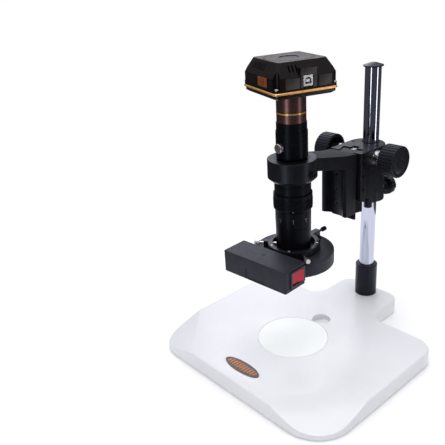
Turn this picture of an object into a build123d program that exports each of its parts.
from build123d import *
import math
import os

# Video inspection microscope on a pillar stand.  Millimetres, +Z up.
# The origin is on the floor below the middle of the base; -Y is the user's side.

# ---------------------------------------------------------------- driving sizes
base_w = 350.0              # width of the base slab
slab_front = -194.6         # front edge of the slab
slab_back = 75.9            # back edge of the wide part of the slab
tongue_w = 112.0            # the narrow tail that carries the pillar
tongue_back = 162.4
foot_h = 1.5                # how far the rubber feet stand below the casting
foot_seat = 5.0             # ceiling of the seat that holds each foot
base_top = 26.0
rim_r = 3.0                 # rounding of the upper rim
front_left_r = 46.0         # the left front corner is the tighter one
front_right_r = 58.0
back_corner_r = 30.0
tongue_corner_r = 22.0
waist_r = 24.0              # hollow corner between slab and tail
fold_x = 82.0               # where each corner facet's fold meets the front edge
fold_y = -97.1              # where it meets the side edge
facet_slope = 21.5          # slope of the facet, degrees
edge_wall = 9.0             # wall left round the cavity
cavity_top = 13.0           # ceiling of the cavity under the casting
rib_half = 2.5              # half thickness of the ribs in the cavity
cover_t = 1.2               # sheet that closes the cavity

stage_y = -53.6             # middle of the stage plate
stage_r = 55.3
stage_gap = 0.35            # ring gap round the stage plate
stage_seat = 21.5           # height that the stage plate rests at
stage_top = 26.2
notch_r = 15.0              # finger notch beside the stage plate
notch_low = 17.5
notch_x = 1.5
notch_y = stage_y + 69.0

badge_x = -2.0
badge_y = -163.0
badge_a = 34.0              # half length and half width of the oval badge
badge_b = 11.0
badge_low = 24.8

post_y = 139.3              # pillar axis
post_r = 12.5
post_foot = 18.0
post_top = 420.5
post_bore = 10.0
bolt_r = 4.0
bolt_head_r = 7.5
socket_top = 83.0
socket_r = 18.3

lens_y = -46.8              # optical axis
run = 0.05                  # running clearance, radial

housing_top = 302.0         # focus housing
housing_bottom = 226.0
housing_front = 74.4
housing_half = 30.0
housing_tail = 16.8         # how far the housing reaches behind the pillar's axis
clamp_bottom = 206.0        # lower edge of the pillar clamp
clamp_r = 24.0              # outside of the pillar clamp
lug_bottom = 200.5          # lower end of the two lugs in front of the clamp
clamp_z = 214.0             # height of the clamp knob
clamp_boss_r = 7.5          # boss the clamp knob screws into
bush_r = 14.4               # outside of the liner between pillar and housing

neck_half = 13.0            # dovetail, half width at its neck and at its back
tail_half = 19.0
neck_y = housing_front - 0.2
gib_t = 2.0

pinion_y = 111.4
pinion_z = 288.0
pinion_teeth = 18
gear_module = 1.0
pitch_r = pinion_teeth * gear_module / 2
shaft_r = 4.0
knob_in = 48.5              # inner and outer ends of the focus knobs
knob_out = 74.0
knob_r = 24.5

plate_front = 46.4          # upright part of the arm
plate_back = 70.4
plate_low = 205.0
slide_back = plate_back + 24.0
slide_low = 193.5           # lower end of the slide's flange
tail_low = 199.5            # lower end of the slide's dovetail
slide_top = housing_top - 1.5
rack_half = 4.0
arm_half = 24.0
ring_r = 35.4               # lens holder ring
ring_low = 290.5
ring_high = 322.5
ring_screw_z = 304.0
barrel_r = 25.0             # barrel radius held in the ring

zoom_low = 247.0
zoom_high = 272.0
zoom_r = 28.2
bore_r = 20.0               # inside of the lens barrels
nose_low = 172.0            # lowest point of the objective
front_cell_low = 206.0      # the two moving lens groups
rear_cell_low = 266.0
coupler_top = 374.0
coupler_screw_z = 341.5
eye_r = 16.0                # inside of the coupler

cam_yaw = -19.4             # camera turned on its tube
cam_x = 96.5                # camera body, along its own x and y
cam_y = 91.1
cam_off_x = -1.75           # middle of the body from the optical axis
cam_off_y = -1.05
cam_bottom = 414.8
trim_low = 421.2
trim_high = 424.2
cam_knee = 441.5            # above this the sides lean in
cam_top = 459.8
cam_inset = 10.2
cam_corner = 6.0
cam_shell = 2.5             # wall of the camera's upper shell
screw_in = 3.6              # camera screws from the sides of the body
usb_y = 0.65
usb_low = 429.2
usb_high = 442.4
usb_half = 6.6

light_yaw = 3.2             # ring light turned on the lens
halo_r = 59.3               # outer radius of the ring light
halo_hole = 32.0
halo_low = 162.0
halo_high = 181.5
box_right = 56.5            # control box of the ring light
box_left = -59.0
box_front = -88.5
box_back = -45.8
box_low = 161.6
box_high = 194.6
wall = 2.0
collar_r = 38.8
collar_in = 31.0
collar_top = 192.4
light_screw_z = 187.5
rocker_y = -62.8
rocker_z = 178.4
rocker_rest = 8.0           # tilt of the rocker at rest, degrees
gland_y = -66.0
gland_z = 177.0


# ---------------------------------------------------------------- small helpers
def cyl(r, low, high, x=0.0, y=0.0):
    """Upright cylinder between two heights."""
    return Pos(x, y, low) * Cylinder(r, high - low, align=(Align.CENTER, Align.CENTER, Align.MIN))


def tube(r_out, r_in, low, high, x=0.0, y=0.0):
    """Upright tube between two heights."""
    return cyl(r_out, low, high, x, y) - cyl(r_in, low - 1, high + 1, x, y)


def cone(r_low, r_high, low, high, x=0.0, y=0.0):
    """Upright cone between two heights."""
    body = Cone(r_low, r_high, high - low, align=(Align.CENTER, Align.CENTER, Align.MIN))
    return Pos(x, y, low) * body


def block(x0, x1, y0, y1, z0, z1):
    """Box given by its six faces."""
    middle = Pos((x0 + x1) / 2, (y0 + y1) / 2, (z0 + z1) / 2)
    return middle * Box(abs(x1 - x0), abs(y1 - y0), abs(z1 - z0))


def bar_x(r, x0, x1, y, z):
    """Cylinder along X."""
    return Pos((x0 + x1) / 2, y, z) * Rot(0, 90, 0) * Cylinder(r, x1 - x0)


def bar_y(r, y0, y1, x, z):
    """Cylinder along Y."""
    return Pos(x, (y0 + y1) / 2, z) * Rot(90, 0, 0) * Cylinder(r, y1 - y0)


def tube_x(r_out, r_in, x0, x1, y, z):
    """Tube along X."""
    return bar_x(r_out, x0, x1, y, z) - bar_x(r_in, x0 - 1, x1 + 1, y, z)


def rounded(width, depth, corner, low, high):
    """Upright prism with a rounded rectangle as its plan."""
    return Pos(0, 0, low) * extrude(RectangleRounded(width, depth, corner), high - low)


def prism(points, low, high):
    """Upright prism on a polygon."""
    return Pos(0, 0, low) * extrude(make_face(Polyline(*points, close=True)), high - low)


def group(shapes):
    """Several loose solids in one node."""
    return Compound(children=[s.solid() for s in shapes])


# ---------------------------------------------------------------- base
def base_outline():
    """Plan of the base: a wide slab with a narrow tail."""
    depth = slab_back - slab_front
    slab = Pos(0, (slab_back + slab_front) / 2) * Rectangle(base_w, depth)
    tail_front = slab_back - 20
    tail = Pos(0, (tongue_back + tail_front) / 2) * Rectangle(tongue_w, tongue_back - tail_front)
    plan = slab + tail
    corners = (
        (base_w / 2, slab_front, front_left_r, front_right_r),
        (base_w / 2, slab_back, back_corner_r, back_corner_r),
        (tongue_w / 2, tongue_back, tongue_corner_r, tongue_corner_r),
        (tongue_w / 2, slab_back, waist_r, waist_r),
    )
    for x, y, left_radius, right_radius in corners:
        for side, radius in ((-1, left_radius), (1, right_radius)):
            spot = Vector(side * x, y, 0)
            corner = min(plan.vertices(), key=lambda v: (Vector(v.X, v.Y, v.Z) - spot).length)
            plan = fillet(corner, radius)
    return plan


def facet_tool(side):
    """Half-space block above the sloping facet at one front corner."""
    a = Vector(side * fold_x, slab_front, base_top)
    b = Vector(side * base_w / 2, fold_y, base_top)
    along = (b - a).normalized()
    outward = Vector(side * abs(along.Y), -abs(along.X), 0)
    slope = math.radians(facet_slope)
    normal = Vector(0, 0, math.cos(slope)) + outward * math.sin(slope)
    plane = Plane(origin=(a + b) * 0.5, x_dir=along, z_dir=normal)
    return plane * Box(400, 400, 60, align=(Align.CENTER, Align.CENTER, Align.MIN))


def cavity(grow, low, high):
    """Hollow under the casting, clear of the facets, the pillar and the walls."""
    plan = offset(base_outline(), grow - edge_wall)
    solid = Pos(0, 0, low) * extrude(plan, high - low)
    for side in (-1, 1):
        a = Vector(side * (fold_x - 14 + grow), slab_front, 0)
        b = Vector(side * base_w / 2, fold_y + 14 - grow, 0)
        along = (b - a).normalized()
        outward = Vector(side * abs(along.Y), -abs(along.X), 0)
        plane = Plane(origin=(a + b) * 0.5, x_dir=outward, z_dir=(0, 0, 1))
        solid -= plane * Box(200, 500, 80, align=(Align.MIN, Align.CENTER, Align.CENTER))
    return solid


def cover_screw_spots():
    """Screws that hold the bottom sheet, in the casting's bosses."""
    return [(-130, 24), (130, 24), (-130, -86), (130, -86), (-60, -166), (60, -166)]


def make_base_casting():
    plan = base_outline()
    body = Pos(0, 0, foot_h) * extrude(plan, base_top - foot_h)
    rim = [e for e in body.edges() if e.center().Z > base_top - 0.01]
    body = fillet(rim, rim_r)
    for side in (-1, 1):
        body -= facet_tool(side)
    hollow = cavity(0.0, foot_h, cavity_top)
    for x in (-88, 0, 88):
        hollow -= block(x - rib_half, x + rib_half, -220, 220, 0, 40)
    for y in (-134, stage_y, 28):
        hollow -= block(-200, 200, y - rib_half, y + rib_half, 0, 40)
    hollow -= cyl(26, 0, 40, 0, post_y)
    for x, y in cover_screw_spots():
        hollow -= cyl(6, 0, 40, x, y)
    for x, y in foot_spots():
        hollow -= cyl(12, 0, 40, x, y)
    body -= hollow
    body -= cavity(3.2, foot_h - 1, foot_h + cover_t)
    for x, y in cover_screw_spots():
        body -= cyl(1.75, 0, 11, x, y)
    body -= cyl(stage_r + stage_gap, stage_seat, 60, 0, stage_y)
    body -= cyl(notch_r, notch_low, 60, notch_x, notch_y)
    badge = Pos(badge_x, badge_y, badge_low) * extrude(Ellipse(badge_a + 0.1, badge_b + 0.1), 9)
    body -= badge
    body -= cyl(post_r + run, post_foot, 60, 0, post_y)
    body -= cyl(bolt_r + 0.2, 0, 60, 0, post_y)
    body -= cyl(bolt_head_r + 1, 0, 10.5, 0, post_y)
    for x, y in foot_spots():
        body -= cyl(8.1, 0, foot_seat, x, y)
    return body


def foot_spots():
    return [(-112, -133.4), (112, -133.4), (-150, 49.6), (150, 49.6), (-38, 136.6), (38, 136.6)]


def make_bottom_plate():
    plate = cavity(3.0, foot_h, foot_h + cover_t)
    plate -= cyl(9.5, 0, 10, 0, post_y)
    for x, y in cover_screw_spots():
        plate -= cyl(1.9, 0, 10, x, y)
    for x, y in foot_spots():
        plate -= cyl(8.6, 0, 10, x, y)
    return plate


def make_bottom_screws():
    screws = []
    for x, y in cover_screw_spots():
        head = cyl(3.2, foot_h - 1.1, foot_h, x, y)
        slot = block(x - 2.2, x + 2.2, y - 0.4, y + 0.4, 0, 0.8)
        screws.append(head - slot + cyl(1.7, foot_h, 9.5, x, y))
    return group(screws)


def make_rubber_feet():
    feet = []
    for x, y in foot_spots():
        feet.append(cyl(8.0, foot_h, foot_seat, x, y) + cone(9.0, 10.0, 0, foot_h, x, y))
    return group(feet)


def make_badge_plate():
    plate = extrude(Ellipse(badge_a, badge_b), 1.9)
    plate = fillet(plate.edges().sort_by(Axis.Z)[-1], 0.6)
    return Pos(badge_x, badge_y, badge_low) * plate


def make_stage_plate():
    disc = cyl(stage_r, stage_seat, stage_top, 0, stage_y)
    return chamfer(disc.edges().sort_by(Axis.Z)[-1], 0.5)


def make_post_socket():
    body = cyl(socket_r, base_top, socket_top, 0, post_y)
    body = chamfer(body.edges().sort_by(Axis.Z)[-1], 0.8)
    return body - cyl(post_r + run, 0, 200, 0, post_y)


def make_post():
    body = cyl(post_r, post_foot, post_top, 0, post_y)
    body = chamfer(body.edges().sort_by(Axis.Z)[-1], 0.8)
    body -= cyl(post_bore, 60, post_top + 1, 0, post_y)
    return body - cyl(bolt_r + run, 0, 45, 0, post_y)


def make_post_bolt():
    head = cyl(bolt_head_r, 4.0, 10.5, 0, post_y)
    socket = Pos(0, post_y, 4.0) * extrude(RegularPolygon(3.5, 6), 4)
    return head - socket + cyl(bolt_r, 10.5, 42, 0, post_y)


def make_post_cap():
    body = cyl(15.5, post_top, post_top + 1.6, 0, post_y)
    dome = cone(15.5, 5.0, post_top + 1.6, post_top + 5.2, 0, post_y)
    plug = cyl(post_bore - 0.1, post_top - 10, post_top, 0, post_y)
    return body + dome + plug


# ---------------------------------------------------------------- focus housing
def dovetail(extra, low, high, right=0.0):
    """Dovetail tongue, or its slot when extra is the clearance."""
    pts = [
        (-neck_half - extra, neck_y - 1),
        (neck_half + extra + right, neck_y - 1),
        (neck_half + extra + right, neck_y + 2),
        (tail_half + extra + right, slide_back + extra),
        (-tail_half - extra, slide_back + extra),
        (-neck_half - extra, neck_y + 2),
    ]
    return prism(pts, low, high)


def make_post_bush():
    body = tube(bush_r, post_r + run, clamp_bottom + 1, 300, 0, post_y)
    return body - block(-1, 1, post_y - 20, post_y - 5, 200, 301)


def make_focus_housing():
    tail = post_y + housing_tail
    plan = Pos(0, (housing_front + tail) / 2) * Rectangle(2 * housing_half, tail - housing_front)
    plan = fillet(plan.vertices().group_by(Axis.Y)[-1], housing_half - 0.1)
    plan = fillet(plan.vertices().group_by(Axis.Y)[0], 1.6)
    body = Pos(0, 0, housing_bottom) * extrude(plan, housing_top - housing_bottom)
    body = fillet([e for e in body.edges() if e.center().Z > housing_top - 0.01], 1.0)
    body += block(-20, 20, post_y - 24, post_y, clamp_bottom, housing_bottom + 1)
    body += cyl(clamp_r, clamp_bottom, housing_bottom + 1, 0, post_y)
    groove_y = housing_front + 17
    for side in (-1, 1):
        body += cyl(6.5, lug_bottom, housing_bottom + 1, side * 15.5, post_y - 24)
        body -= block(side * (housing_half - 0.5), side * (housing_half + 1), groove_y, groove_y + 0.8,
                      200, 310)
    body += bar_y(clamp_boss_r, post_y + 18, post_y + 31, 0, clamp_z)
    body -= cyl(bush_r + run, 0, 500, 0, post_y)
    body -= dovetail(0.12, 200, 320, right=gib_t)
    body -= bar_x(11.0, -7, 7, pinion_y, pinion_z)
    rack_tip = pinion_y - pitch_r + 0.9 * gear_module
    body -= block(-6, 6, slide_back - 1, rack_tip + 0.8, housing_bottom - 1, housing_top + 1)
    body -= bar_x(8.0, -60, 60, pinion_y, pinion_z)
    body -= bar_y(bolt_r + run, post_y + 5, post_y + 60, 0, clamp_z)
    for x in (-22, 22):
        body -= cyl(2.6, housing_top - 3, 400, x, pinion_y + 12)
    return body


def make_pinion_bush(side):
    """Bearing bush pressed in one side of the housing, with a notched nut outside."""
    inner = tube_x(7.95, shaft_r + run, 8.0, housing_half, pinion_y, pinion_z)
    flange = tube_x(11.5, shaft_r + run, housing_half + 0.02, 38.5, pinion_y, pinion_z)
    flange += tube_x(9.0, shaft_r + run, 38.5, 42.5, pinion_y, pinion_z)
    for i in range(6):
        notch = Pos(0, pinion_y, pinion_z) * Rot(i * 60, 0, 0) * Pos(35.5, 0, 11.5) * Box(8, 2.6, 3)
        flange -= notch
    body = inner + flange + tube_x(7.9, shaft_r + run, 29, 31, pinion_y, pinion_z)
    return body if side > 0 else mirror(body, Plane.YZ)


def make_gib_strip():
    a = 0.08
    b = a + gib_t - 0.02
    pts = [
        (neck_half + a, neck_y + 2.1),
        (neck_half + b, neck_y + 2.1),
        (tail_half + b - 0.05, slide_back),
        (tail_half + a, slide_back),
    ]
    return prism(pts, housing_bottom + 1, housing_top - 1.5)


def gib_screw_heights():
    return (242, 264, 286)


def make_gib_screws():
    screws = []
    for z in gib_screw_heights():
        head = bar_x(2.4, housing_half, housing_half + 1.4, housing_front + 7.5, z)
        head -= block(housing_half + 0.8, 40, housing_front, housing_front + 20, z - 0.35, z + 0.35)
        screws.append(head)
    return group(screws)


def make_clamp_stud():
    return bar_y(bolt_r, post_y + bush_r + 0.3, post_y + 52, 0, clamp_z)


def make_clamp_knob():
    """Lobed knob behind the pillar, on a round hub."""
    face = post_y + 55.3
    body = bar_y(16.5, face - 11, face, 0, clamp_z)
    body = fillet(body.edges().group_by(Axis.Y)[-1] + body.edges().group_by(Axis.Y)[0], 1.6)
    for i in range(8):
        flute = Pos(0, face - 5, clamp_z) * Rot(0, i * 45 + 22.5, 0) * Pos(0, 0, 18.4)
        body -= flute * Rot(90, 0, 0) * Cylinder(3.4, 20)
    body += bar_y(8.5, face - 20, face - 10, 0, clamp_z)
    return body - bar_y(bolt_r + 0.02, post_y, post_y + 52, 0, clamp_z)


# ---------------------------------------------------------------- pinion and knobs
def make_pinion_shaft():
    return bar_x(shaft_r, -72.0, 72.0, pinion_y, pinion_z)


def make_pinion_gear():
    """Spur pinion; one tooth gap faces the rack."""
    root = pitch_r - 1.25 * gear_module
    tip = pitch_r + 0.9 * gear_module
    plan = Circle(root)
    half_root = 0.95 * gear_module
    half_tip = 0.38 * gear_module
    for i in range(pinion_teeth):
        tooth = make_face(Polyline((root - 1, -half_root), (root - 1, half_root), (root, half_root),
                                   (tip, half_tip), (tip, -half_tip), (root, -half_root), close=True))
        plan += Rot(0, 0, (i + 0.5) * 360 / pinion_teeth) * tooth
    gear = Pos(0, 0, -5) * extrude(plan, 10)
    gear = Pos(0, pinion_y, pinion_z) * Rot(0, 90, 0) * Rot(0, 0, 90) * gear
    return gear - bar_x(shaft_r + 0.02, -8, 8, pinion_y, pinion_z)


def make_focus_knob(side):
    """Ribbed knob, hollow on the side that faces the housing."""
    body = bar_x(knob_r, knob_in, knob_out, pinion_y, pinion_z)
    body = fillet([e for e in body.edges() if e.center().X > knob_out - 0.01], 2.0)
    hollow = bar_x(20.0, knob_in - 1, knob_in + 15, pinion_y, pinion_z)
    body -= hollow - bar_x(9.0, knob_in - 2, knob_in + 16, pinion_y, pinion_z)
    middle = (knob_in + knob_out) / 2
    for i in range(30):
        groove = Pos(0, pinion_y, pinion_z) * Rot(i * 12, 0, 0) * Pos(middle, 0, knob_r + 0.35)
        body -= groove * Rot(0, 90, 0) * Cylinder(1.25, 40)
    body -= bar_x(17.5, knob_out - 0.9, knob_out + 1, pinion_y, pinion_z)
    body -= bar_x(shaft_r + 0.02, knob_in - 5, 72.0, pinion_y, pinion_z)
    return body if side > 0 else mirror(body, Plane.YZ)


# ---------------------------------------------------------------- arm and slide
def make_arm_casting():
    """Lens holder ring, rising arm and upright plate with a hollow front."""
    y0 = lens_y + 27
    side = Polyline((y0, 318.6), (plate_front, 304.8), (plate_back, housing_top), (plate_back, plate_low),
                    (plate_front, plate_low), (plate_front, 284.5), (y0, 299.6), close=True)
    face = Plane.YZ * make_face(side)
    body = Pos(-arm_half, 0, 0) * extrude(face, 2 * arm_half, dir=(1, 0, 0))
    sides = [e for e in body.edges() if abs(e.center().Y - plate_front) < 0.1 and e.center().Z < 250
             and abs(e.center().X) > 20]
    body = fillet(sides, 1.5)
    body -= cyl(28, 190, 283, 0, plate_front - 21.5)
    ring = cyl(ring_r, ring_low + 5, ring_high, 0, lens_y)
    ring += cone(30.0, ring_r, ring_low, ring_low + 5, 0, lens_y)
    top = [e for e in ring.edges() if e.center().Z > ring_high - 0.01]
    ring = fillet(top, 1.2)
    boss = bar_x(6.5, 28.0, 36.2, lens_y, ring_screw_z)
    body += ring
    body += boss
    body -= cyl(barrel_r + run, 200, 400, 0, lens_y)
    body -= bar_x(3.0 + run, 24, 60, lens_y, ring_screw_z)
    for z in slide_screw_heights():
        body -= Pos(0, plate_front + 10, z) * Rot(90, 0, 0) * Cylinder(2.5 + run, 60)
        body -= Pos(0, plate_front + 4, z) * Rot(90, 0, 0) * Cylinder(4.6, 16)
    return body


def slide_screw_heights():
    return (222, 246, 270)


def make_slide_plate():
    body = block(-22, 22, plate_back, plate_back + 3.6, slide_low, slide_top)
    body += dovetail(0.0, tail_low, slide_top)
    groove = rack_half + 0.05
    body -= block(-groove, groove, slide_back - 4.5, slide_back + 1, 0, 400)
    for z in slide_screw_heights():
        body -= Pos(0, plate_back + 5, z) * Rot(90, 0, 0) * Cylinder(2.5, 16)
    return body


def make_rack_strip():
    """Steel rack let into the slide; a tooth sits level with the pinion's axis."""
    pitch = math.pi * gear_module
    pitch_line = pinion_y - pitch_r
    tip = pitch_line + 0.9 * gear_module
    root = pitch_line - 1.25 * gear_module
    low = tail_low + 1
    high = slide_top - 0.5
    body = block(-rack_half, rack_half, slide_back - 4.45, root, low, high)
    half_root = 1.05 * gear_module
    half_tip = 0.40 * gear_module
    count_down = int((pinion_z - low - half_root) / pitch)
    count_up = int((high - half_root - pinion_z) / pitch)
    for i in range(-count_down, count_up + 1):
        z = pinion_z + i * pitch
        tooth = make_face(Polyline((root - 0.5, z - half_root), (root, z - half_root), (tip, z - half_tip),
                                   (tip, z + half_tip), (root, z + half_root), (root - 0.5, z + half_root),
                                   close=True))
        body += Pos(-rack_half, 0, 0) * extrude(Plane.YZ * tooth, 2 * rack_half, dir=(1, 0, 0))
    return body


def make_slide_screws():
    screws = []
    for z in slide_screw_heights():
        head = Pos(0, plate_front + 9.4, z) * Rot(90, 0, 0) * Cylinder(4.4, 5.0)
        hexagon = Pos(0, plate_front + 6.9, z) * Rot(90, 0, 0) * extrude(RegularPolygon(2.0, 6), -2.4)
        shank = Pos(0, plate_front + 20.4, z) * Rot(90, 0, 0) * Cylinder(2.45, 17.0)
        screws.append(head + shank - hexagon)
    return group(screws)


def make_ring_clamp_screw():
    shank = bar_x(3.0, barrel_r + 0.35, 36.5, lens_y, ring_screw_z)
    head = bar_x(4.1, 36.25, 40.5, lens_y, ring_screw_z)
    hexagon = Pos(38.2, lens_y, ring_screw_z) * Rot(0, 90, 0) * extrude(RegularPolygon(2.1, 6), 4)
    return shank + head - hexagon


# ---------------------------------------------------------------- lens
def make_lens_coupler():
    body = cyl(22.4, ring_high + 2.5, 362, 0, lens_y)
    body += cone(20.6, 22.4, ring_high, ring_high + 2.5, 0, lens_y)
    body += cyl(21.4, 362, coupler_top, 0, lens_y)
    body += cyl(18.95, ring_high - 10, ring_high, 0, lens_y)
    body -= cyl(eye_r, 300, 400, 0, lens_y)
    return body - Pos(0, lens_y - 20, coupler_screw_z) * Rot(90, 0, 0) * Cylinder(2.0 + run, 14)


def make_upper_barrel():
    body = cyl(24.0, zoom_low, zoom_high, 0, lens_y)
    body += cyl(26.3, zoom_high, ring_low - 0.3, 0, lens_y)
    body += cyl(barrel_r, ring_low - 0.3, ring_high, 0, lens_y)
    body -= tube(27, 25.7, 283.6, 284.6, 0, lens_y)
    body -= cyl(bore_r, 200, ring_high - 12, 0, lens_y)
    body -= cyl(14.0, 200, 400, 0, lens_y)
    return body - cyl(19.0, ring_high - 10, 400, 0, lens_y)


def make_lower_barrel():
    body = cyl(26.1, 221.5, zoom_low - 0.2, 0, lens_y)
    body += cyl(25.4, 220.5, 221.5, 0, lens_y)
    body += cyl(25.9, 190.0, 220.5, 0, lens_y)
    body += cyl(23.9, zoom_low - 0.2, zoom_low, 0, lens_y)
    return body - cyl(bore_r, 100, 300, 0, lens_y)


def make_objective_cell():
    body = cone(22.0, 25.0, nose_low, nose_low + 4, 0, lens_y)
    body += cyl(25.0, nose_low + 4, 190.0, 0, lens_y)
    body -= cyl(15.5, 100, 300, 0, lens_y)
    body -= cyl(17.5, nose_low + 3, 191, 0, lens_y)
    return body - cone(19.5, 15.5, nose_low - 0.01, nose_low + 3, 0, lens_y)


def lens_disc(radius, edge_low, edge_high, bulge):
    """Glass disc with two domed faces."""
    sag = (radius * radius - bulge * bulge) / (2 * bulge) + bulge
    middle = cyl(radius, edge_low - bulge, edge_high + bulge, 0, lens_y)
    upper = Pos(0, lens_y, edge_high + bulge - sag) * Sphere(sag)
    lower = Pos(0, lens_y, edge_low - bulge + sag) * Sphere(sag)
    return middle & upper & lower


def make_objective_glass():
    return lens_disc(17.4, nose_low + 5.0, nose_low + 8.0, 1.8)


def make_zoom_ring():
    body = cyl(zoom_r, zoom_low + 2, zoom_high - 0.4, 0, lens_y)
    body += cone(26.6, zoom_r, zoom_low + 0.2, zoom_low + 2, 0, lens_y)
    body -= tube(30, zoom_r - 0.4, 266.0, 267.0, 0, lens_y)
    return body - cyl(24.0 + run, 200, 400, 0, lens_y)


def make_zoom_cell(low):
    body = cyl(bore_r - run, low, low + 14, 0, lens_y)
    body -= cyl(13.0, low - 1, low + 20, 0, lens_y)
    return body - cyl(15.0, low + 5, low + 20, 0, lens_y)


def make_zoom_glass(low):
    return lens_disc(14.95, low + 6.6, low + 9.0, 1.5)


def thumbscrew(shank_r, shank_length, head_r, head_length):
    """Knurled thumbscrew along +X; its tip is at the origin."""
    shank = bar_x(shank_r, 0, shank_length + 0.5, 0, 0)
    head = bar_x(head_r, shank_length, shank_length + head_length, 0, 0)
    head = chamfer([e for e in head.edges() if abs(e.center().X - shank_length - head_length) < 0.01],
                   0.12 * head_r)
    for i in range(18):
        groove = Rot(i * 20, 0, 0) * Pos(shank_length + head_length / 2, 0, head_r + 0.1)
        head -= groove * Rot(45, 0, 0) * Box(head_length + 1, 0.55, 0.55)
    return shank + head


def make_coupler_thumbscrew():
    screw = thumbscrew(2.0, 7.5, 6.7, 5.0)
    return Pos(0, lens_y - eye_r - 0.4, coupler_screw_z) * Rot(0, 0, -90) * screw


# ---------------------------------------------------------------- camera
def on_camera(shape):
    """Places a piece made in the camera's own axes."""
    return Pos(0, lens_y, 0) * Rot(0, 0, cam_yaw) * shape


def on_camera_body(shape):
    """Places a piece made round the middle of the camera's body."""
    return on_camera(Pos(cam_off_x, cam_off_y, 0) * shape)


def make_camera_nose():
    body = cyl(20.5, coupler_top + 0.3, cam_bottom, 0, 0)
    body += cyl(21.2, cam_bottom - 3.2, cam_bottom, 0, 0)
    body += cyl(eye_r - run, coupler_top - 34, coupler_top + 0.3, 0, 0)
    body -= tube(22, 19.9, 386.7, 388.5)
    body -= cyl(13.0, 300, 500)
    return on_camera(body)


def make_nose_ring():
    return on_camera(tube(20.8, 19.92, 386.8, 388.4))


def make_camera_base_shell():
    body = rounded(cam_x - 2, cam_y - 2, cam_corner, cam_bottom + 2.5, trim_low)
    rim = loft([Pos(0, 0, cam_bottom) * RectangleRounded(cam_x - 9, cam_y - 9, cam_corner - 1),
                Pos(0, 0, cam_bottom + 2.5) * RectangleRounded(cam_x - 2, cam_y - 2, cam_corner)])
    body += rim
    body -= rounded(cam_x - 12, cam_y - 12, cam_corner - 1, cam_bottom + 2.5, 500)
    for x, y in camera_screw_spots():
        body -= cyl(1.3, trim_low - 2.1, 500, x, y)
    return on_camera_body(body - cyl(13.0, 300, 500, -cam_off_x, -cam_off_y))


def camera_screw_spots():
    x = cam_x / 2 - screw_in
    y = cam_y / 2 - screw_in
    return [(-x, -y), (-x, y), (x, -y), (x, y)]


def make_camera_trim():
    body = rounded(cam_x + 2.2, cam_y + 2.2, cam_corner + 1.1, trim_low, trim_high)
    body = chamfer(body.edges().group_by(Axis.Z)[0] + body.edges().group_by(Axis.Z)[-1], 0.8)
    body -= rounded(cam_x - 18, cam_y - 18, 3, 400, 500)
    for x, y in camera_screw_spots():
        body -= cyl(1.3, 400, 500, x, y)
    return on_camera_body(body)


def camera_shell(margin, low, high):
    """Upright below the knee, leaning in above it, drawn in by a margin."""
    x = cam_x - 2 * margin
    y = cam_y - 2 * margin
    corner = cam_corner - 0.8 * margin
    body = rounded(x, y, corner, low, cam_knee)
    wide = Pos(0, 0, cam_knee) * RectangleRounded(x, y, corner)
    narrow = Pos(0, 0, high) * RectangleRounded(x - 2 * cam_inset, y - 2 * cam_inset, corner - 1)
    return body + loft([wide, narrow])


def make_camera_cover():
    """Upper shell with raised panels on its socket side, vents and corner screws."""
    body = camera_shell(0.0, trim_high, cam_top)
    body += block(34, cam_x / 2 + 0.9, -10.3, 13.9, 426.5, 452.4)
    for y0, y1 in ((-31.5, -10.3), (16.2, 36.3)):
        body += block(40, cam_x / 2 + 0.45, y0, y1, 426.5, cam_knee)
    inner = camera_shell(cam_shell, trim_high - 1, cam_top - cam_shell)
    for x, y in camera_screw_spots():
        inner -= cyl(6.3, 400, 500, x, y)
    body -= inner
    for x, y in camera_screw_spots():
        body -= cyl(4.6, trim_high + 3.5, 500, x * 1.02, y * 1.02)
        body -= cyl(1.3, 400, 500, x, y)
    for side in (-1, 1):
        for i in range(7):
            along = -23 + i * 5.2
            body -= block(along - 0.9, along + 0.9, side * 34, side * 47, 447, 455.5)
            if side < 0 or along < -12:
                body -= block(side * 36.5, side * 49.5, along - 0.9, along + 0.9, 447, 455.5)
    slot = usb_half + 0.05
    body -= block(30, 60, usb_y - slot, usb_y + slot, usb_low - 0.05, usb_high + 0.05)
    body -= tube(33.6, 32.8, cam_top - 0.5, cam_top + 1)
    body -= cyl(13.5, cam_top - 0.8, cam_top + 1)
    return on_camera_body(body)


def make_camera_screws():
    screws = []
    for x, y in camera_screw_spots():
        head = cyl(3.0, trim_high + 3.5, trim_high + 5.6, x, y)
        head = fillet(head.edges().sort_by(Axis.Z)[-1], 0.9)
        head -= block(x - 1.6, x + 1.6, y - 0.35, y + 0.35, trim_high + 4.8, 500)
        head -= block(x - 0.35, x + 0.35, y - 1.6, y + 1.6, trim_high + 4.8, 500)
        screws.append(head + cyl(1.25, trim_low - 2, trim_high + 3.5, x, y))
    return group([on_camera_body(s) for s in screws])


def make_usb_shell():
    """Square metal socket shell; its mouth has two cut upper corners."""
    face = cam_x / 2 + 1.1
    body = block(face - 13, face, usb_y - usb_half, usb_y + usb_half, usb_low, usb_high)
    mid = (usb_low + usb_high) / 2
    mouth = [(-4.3, -4.1), (4.3, -4.1), (4.3, 1.7), (2.5, 4.1), (-2.5, 4.1), (-4.3, 1.7)]
    outline = make_face(Polyline(*mouth, close=True))
    tool = extrude(Plane(origin=(face - 12, usb_y, mid), x_dir=(0, 1, 0), z_dir=(1, 0, 0)) * outline, 14)
    return on_camera_body(body - tool)


def make_usb_tongue():
    face = cam_x / 2 + 1.1
    mid = (usb_low + usb_high) / 2
    return on_camera_body(block(face - 12, face - 1.2, usb_y - 2.8, usb_y + 2.8, mid - 1.7, mid + 1.5))


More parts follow.
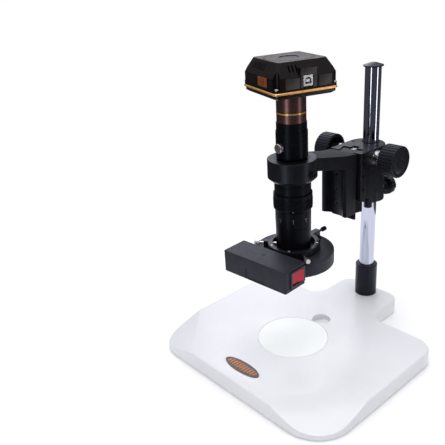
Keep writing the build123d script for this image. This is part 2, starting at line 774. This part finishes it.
def make_camera_board():
    body = rounded(70, 68, 2, 426.4, 428.0)
    body += block(-20, -8, 10, 24, 428.0, 430.2)
    body += block(4, 16, -26, -14, 428.0, 431.0)
    body += block(-26, -18, -22, -10, 428.0, 433.0)
    for x in (-8, 0, 8):
        body += cyl(2.4, 428.0, 434.0, x, 24)
    return on_camera_body(body)


def make_image_sensor():
    return on_camera(block(-9, 9, -7, 7, 424.4, 426.4))


# ---------------------------------------------------------------- ring light
def on_light(shape):
    """Places a piece made in the ring light's own axes."""
    return Pos(0, lens_y, 0) * Rot(0, 0, light_yaw) * shape


def make_light_housing():
    """One moulding: the lamp ring, open below, and the control box beside it."""
    ring = cyl(halo_r, halo_low, halo_high)
    ring = fillet([e for e in ring.edges() if e.center().Z > halo_high - 0.01], 1.2)
    body_box = block(box_left, box_right, box_front, box_back, box_low, box_high)
    uprights = [e for e in body_box.edges() if abs(e.bounding_box().size.Z) > 20]
    body_box = fillet(uprights, 1.8)
    top = [e for e in body_box.edges() if e.center().Z > box_high - 0.01]
    body_box = fillet(top, 0.8)
    body = ring + body_box
    channel = tube(halo_r - wall, halo_hole + wall, halo_low - 2, halo_high - wall)
    inside = block(box_left + wall, box_right - wall, box_front + wall, box_back - wall, box_low - 1,
                   box_high - wall)
    inside -= cyl(halo_r, 0, halo_high)
    body -= channel
    body -= inside
    body -= cyl(halo_hole, 100, 300)
    body -= block(box_right - 4, box_right + 4, rocker_y - 14, rocker_y + 14, rocker_z - 10.5,
                  rocker_z + 10.5)
    body -= bar_x(5.0, box_left - 4, box_left + 4, gland_y, gland_z)
    body -= cyl(3.0, box_high - 0.9, box_high + 2, -2.6, -64.4)
    body -= block(-17, 19.5, box_front - 1, box_front + 0.6, 163.8, 179.5)
    return on_light(body)


def make_light_box_cover():
    gap = wall + 0.1
    body = block(box_left + gap, box_right - gap, box_front + gap, box_back - gap, box_low, box_low + 1.8)
    return on_light(body - cyl(halo_r + 0.1, 0, 300))


def make_ring_lamp():
    """Circular lamp tube with its plug base at the control box side."""
    lamp = Pos(0, 0, 172.4) * Torus(44.7, 6.0)
    lamp -= block(-9, 9, -60, -30, 150, 190)
    lamp += block(-9, 9, -52.0, -37.5, 166.2, 178.6)
    return on_light(lamp)


def make_lamp_window():
    body = tube(halo_r - wall - 0.1, halo_hole + wall + 0.1, halo_low, halo_low + 1.6)
    return on_light(body)


def screw_angles():
    """Directions of the three clamping screws, in the light's own axes."""
    return (-32.0, -150.0, 88.0)


def make_light_collar():
    """Clamping collar: a flange close to the lens, a skirt in the lamp's hole and three bosses."""
    body = tube(collar_r, collar_in, halo_high, collar_top)
    body = fillet([e for e in body.edges() if e.center().Z > collar_top - 0.01], 0.8)
    body += tube(halo_hole - 0.1, 29.5, 171.0, halo_high)
    body += tube(collar_in + 0.5, barrel_r + 1.6, halo_high, halo_high + 2)
    for angle, reach in zip(screw_angles(), (45.0, 45.0, 57.0)):
        boss = block(35.5, reach, -4.5, 4.5, halo_high + 0.4, collar_top - 0.4)
        body += Rot(0, 0, angle) * boss
    for angle in screw_angles():
        body -= Rot(0, 0, angle) * bar_x(2.0 + run, 28, 60, 0, light_screw_z)
    return on_light(body)


def make_light_thumbscrew(index):
    length = (28.5, 27.0, 42.0)[index]
    screw = thumbscrew(2.0, length, 3.6, 7.5)
    placed = Rot(0, 0, screw_angles()[index]) * Pos(25.35, 0, light_screw_z) * screw
    return on_light(placed)


def make_rocker_bezel():
    face = box_right
    outer = block(face, face + 1.8, rocker_y - 16, rocker_y + 16, rocker_z - 12.5, rocker_z + 12.5)
    outer = chamfer([e for e in outer.edges() if e.center().X > face + 1.7], 0.8)
    outer += block(face - 15, face, rocker_y - 13.9, rocker_y + 13.9, rocker_z - 10.4, rocker_z + 10.4)
    well = block(face - 12, face + 3, rocker_y - 12.4, rocker_y + 12.4, rocker_z - 9.4, rocker_z + 9.4)
    return on_light(outer - well)


def make_rocker_switch():
    """Rocker: two faces in a shallow V, resting with its far end pushed in."""
    pts = [(-2.2, -11.6), (1.6, -11.6), (0.2, 0.0), (1.6, 11.6), (-2.2, 11.6), (-7.0, 5.0), (-7.0, -5.0)]
    profile = make_face(Polyline(*pts, close=True))
    body = Pos(0, 0, -8.8) * extrude(profile, 17.6)
    tilt = Rot(0, 0, -rocker_rest) * body
    return on_light(Pos(box_right - 0.4, rocker_y, rocker_z) * tilt)


def make_ballast_board():
    y0 = box_front + wall + 1.5
    y1 = -halo_r - 1.5
    body = block(-48, 38, y0, y1, 167.6, 169.2)
    body += block(-18, 8, y0 + 2, y1 - 2, 169.2, 187.0)
    body += block(16, 28, y0 + 2, y0 + 10, 169.2, 181.0)
    for x in (-40, -28):
        body += cyl(4.6, 169.2, 184.0, x, (y0 + y1) / 2)
    for x in (15, 24, 33):
        body += cyl(2.2, 169.2, 178.0, x, y1 - 4)
    for x in (-45, 35):
        for y in (y0 + 3, y1 - 3):
            body += cyl(1.6, box_low + 1.8, 167.6, x, y)
    return on_light(body)


def make_lead_gland():
    """Strain relief bush for the mains lead, at the hidden end of the box."""
    body = bar_x(4.9, box_left - 2, box_left + 3.5, gland_y, gland_z)
    body += bar_x(7.0, box_left - 2.5, box_left, gland_y, gland_z)
    body += bar_x(5.2, box_left - 9, box_left - 2.5, gland_y, gland_z)
    body -= bar_x(3.7, -90, -40, gland_y, gland_z)
    return on_light(body)


# ---------------------------------------------------------------- all nodes
def build_nodes():
    nodes = {
        "base_casting": make_base_casting(),
        "bottom_plate": make_bottom_plate(),
        "bottom_screws": make_bottom_screws(),
        "rubber_feet": make_rubber_feet(),
        "badge_plate": make_badge_plate(),
        "stage_plate": make_stage_plate(),
        "post_socket": make_post_socket(),
        "post": make_post(),
        "post_bolt": make_post_bolt(),
        "post_cap": make_post_cap(),
        "post_bush": make_post_bush(),
        "focus_housing": make_focus_housing(),
        "pinion_bush_right": make_pinion_bush(1),
        "pinion_bush_left": make_pinion_bush(-1),
        "gib_strip": make_gib_strip(),
        "gib_screws": make_gib_screws(),
        "clamp_stud": make_clamp_stud(),
        "clamp_knob": make_clamp_knob(),
        "pinion_shaft": make_pinion_shaft(),
        "pinion_gear": make_pinion_gear(),
        "focus_knob_right": make_focus_knob(1),
        "focus_knob_left": make_focus_knob(-1),
        "arm_casting": make_arm_casting(),
        "slide_plate": make_slide_plate(),
        "rack_strip": make_rack_strip(),
        "slide_screws": make_slide_screws(),
        "ring_clamp_screw": make_ring_clamp_screw(),
        "lens_coupler": make_lens_coupler(),
        "upper_barrel": make_upper_barrel(),
        "lower_barrel": make_lower_barrel(),
        "objective_cell": make_objective_cell(),
        "objective_glass": make_objective_glass(),
        "zoom_ring": make_zoom_ring(),
        "zoom_cell_front": make_zoom_cell(front_cell_low),
        "zoom_glass_front": make_zoom_glass(front_cell_low),
        "zoom_cell_rear": make_zoom_cell(rear_cell_low),
        "zoom_glass_rear": make_zoom_glass(rear_cell_low),
        "coupler_thumbscrew": make_coupler_thumbscrew(),
        "camera_nose": make_camera_nose(),
        "nose_ring": make_nose_ring(),
        "camera_base_shell": make_camera_base_shell(),
        "camera_trim": make_camera_trim(),
        "camera_cover": make_camera_cover(),
        "camera_screws": make_camera_screws(),
        "usb_shell": make_usb_shell(),
        "usb_tongue": make_usb_tongue(),
        "camera_board": make_camera_board(),
        "image_sensor": make_image_sensor(),
        "light_housing": make_light_housing(),
        "light_box_cover": make_light_box_cover(),
        "ring_lamp": make_ring_lamp(),
        "lamp_window": make_lamp_window(),
        "light_collar": make_light_collar(),
        "rocker_bezel": make_rocker_bezel(),
        "rocker_switch": make_rocker_switch(),
        "ballast_board": make_ballast_board(),
        "lead_gland": make_lead_gland(),
    }
    for index, name in enumerate(("front", "left", "rear")):
        nodes["light_thumbscrew_" + name] = make_light_thumbscrew(index)
    return nodes


os.makedirs("parts", exist_ok=True)
for node_name, node_shape in build_nodes().items():
    export_step(node_shape, "parts/" + node_name + ".step")
